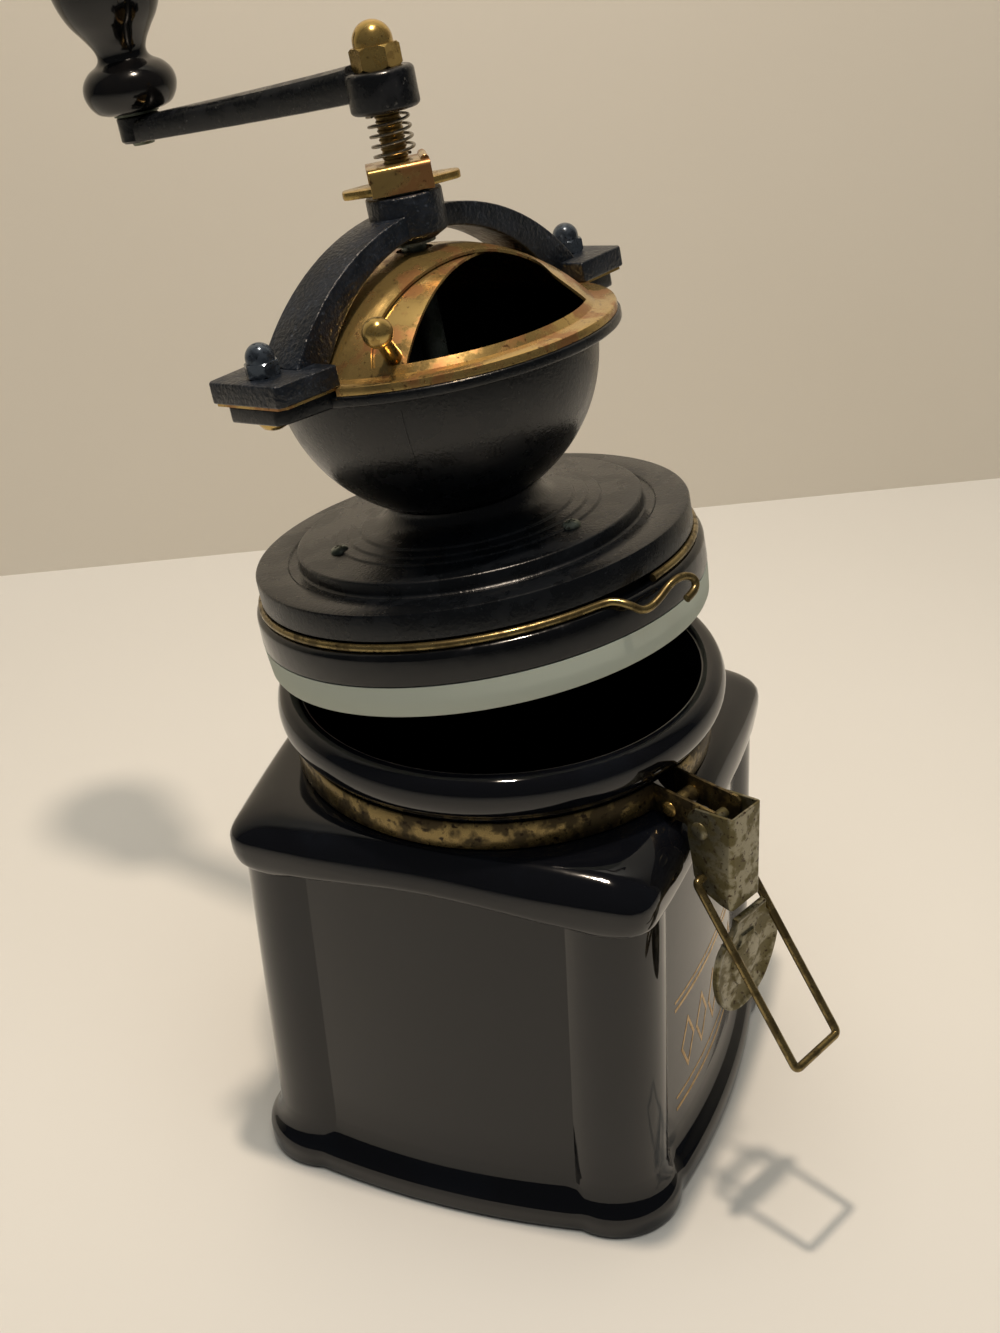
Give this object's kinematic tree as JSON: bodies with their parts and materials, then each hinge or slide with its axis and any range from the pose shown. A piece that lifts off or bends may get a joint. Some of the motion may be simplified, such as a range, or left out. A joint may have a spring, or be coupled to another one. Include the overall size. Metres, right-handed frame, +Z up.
{
  "type": "hand coffee grinder",
  "caption": "Free-standing hand coffee grinder: cast-iron crank mill with brass hopper cover, hinged as the lid of a square glazed ceramic canister and held by a wire bail clamp.",
  "frame": {"origin": "centre of the canister's flat underside", "axes": "+Z up, -Y towards the canister's front panel, X across it; the neck fittings and the lid are turned 22 degrees clockwise about Z, and the lid stands 10.3 degrees open"},
  "size_m": [0.1233, 0.2145, 0.3022],
  "materials": {
    "black_glaze": "high-gloss black glaze",
    "aged_brass": "worn and spotted brass sheet",
    "steel": "plain steel",
    "cast_black": "satin black cast iron",
    "lacquer_black": "glossy black lacquer",
    "pale_rubber": "pale greenish-white rubber",
    "burr_iron": "ground iron",
    "crank_iron": "painted forged iron with chips",
    "spring_steel": "bright spring wire",
    "knob_wood": "black lacquered turned wood"
  },
  "bodies": {
    "canister": {"jar": "black_glaze", "neck_band": "aged_brass", "band_spacer": "aged_brass", "band_rivet": "steel", "lever_rivet": "steel", "hinge_axle": "steel"},
    "lid": {"grinder_casting": "cast_black", "lower_disc": "lacquer_black", "lid_seal": "pale_rubber", "wire_ring": "aged_brass", "hinge_strap": "aged_brass", "lid_screw_1": "steel", "lid_screw_2": "steel", "lid_screw_3": "steel", "hopper_cover": "aged_brass", "yoke": "cast_black", "boss_bush": "steel", "ear_bolt_left": "aged_brass", "ear_bolt_right": "aged_brass", "ear_nut_left": "aged_brass", "ear_nut_right": "aged_brass", "outer_burr": "burr_iron", "bearing_bridge": "cast_black", "bridge_screw_left": "steel", "bridge_screw_right": "steel"},
    "door": {"hopper_door": "aged_brass", "door_knob": "aged_brass"},
    "carrier": {"thrust_washer": "steel"},
    "nut": {"adjusting_nut": "aged_brass"},
    "clip": {"locking_clip": "aged_brass"},
    "spindle": {"shaft": "steel", "inner_burr": "burr_iron", "crank_arm": "crank_iron", "crank_nut": "aged_brass", "knob_pin": "steel", "knob_washer": "steel", "spring": "spring_steel"},
    "crank_knob": {"knob": "knob_wood"},
    "lever": {"clamp_lever": "aged_brass", "thumb_tab": "aged_brass"},
    "bail": {"bail_loop": "steel"}
  },
  "joints": [
    {"name": "lid_hinge", "type": "hinge", "parent": "canister", "child": "lid", "pos_m": [0.02191, 0.05424, 0.121], "axis": [-0.9272, 0.3746, 0], "range_deg": [-10.28, 74.7]},
    {"name": "clamp_swing", "type": "hinge", "parent": "canister", "child": "lever", "pos_m": [-0.02502, -0.06194, 0.1113], "axis": [-0.9272, 0.3746, 0], "range_deg": [0, 92]},
    {"name": "bail_swing", "type": "hinge", "parent": "lever", "child": "bail", "pos_m": [-0.02547, -0.06305, 0.0986], "axis": [-0.9272, 0.3746, 0], "range_deg": [0, 60]},
    {"name": "crank_turn", "type": "hinge", "parent": "lid", "child": "carrier", "pos_m": [0.00831, 0.02056, 0.24853], "axis": [0.0669, 0.1655, 0.9839], "continuous": true},
    {"name": "adjuster_turn", "type": "hinge", "parent": "carrier", "child": "nut", "pos_m": [0.00831, 0.02056, 0.24853], "axis": [0.0669, 0.1655, 0.9839], "range_deg": [-180, 180]},
    {"name": "shaft_lift", "type": "slide", "parent": "carrier", "child": "spindle", "axis": [0.0669, 0.1655, 0.9839], "range_m": [-0.0005, 0.0005], "deforming": ["spring"]},
    {"name": "clip_lift", "type": "slide", "parent": "nut", "child": "clip", "axis": [0.0669, 0.1655, 0.9839], "range_m": [0, 0.0045], "deforming": ["spring"]},
    {"name": "knob_spin", "type": "hinge", "parent": "spindle", "child": "crank_knob", "pos_m": [0.03162, 0.10438, 0.27858], "axis": [0.0669, 0.1655, 0.9839], "continuous": true},
    {"name": "door_turn", "type": "hinge", "parent": "lid", "child": "door", "pos_m": [0.00724, 0.01791, 0.23279], "axis": [0.0669, 0.1655, 0.9839], "range_deg": [-2, 76]}
  ],
  "couplings": [
    {"joint": "adjuster_turn", "follows": "shaft_lift", "rad_per_m": 6283.2}
  ]
}
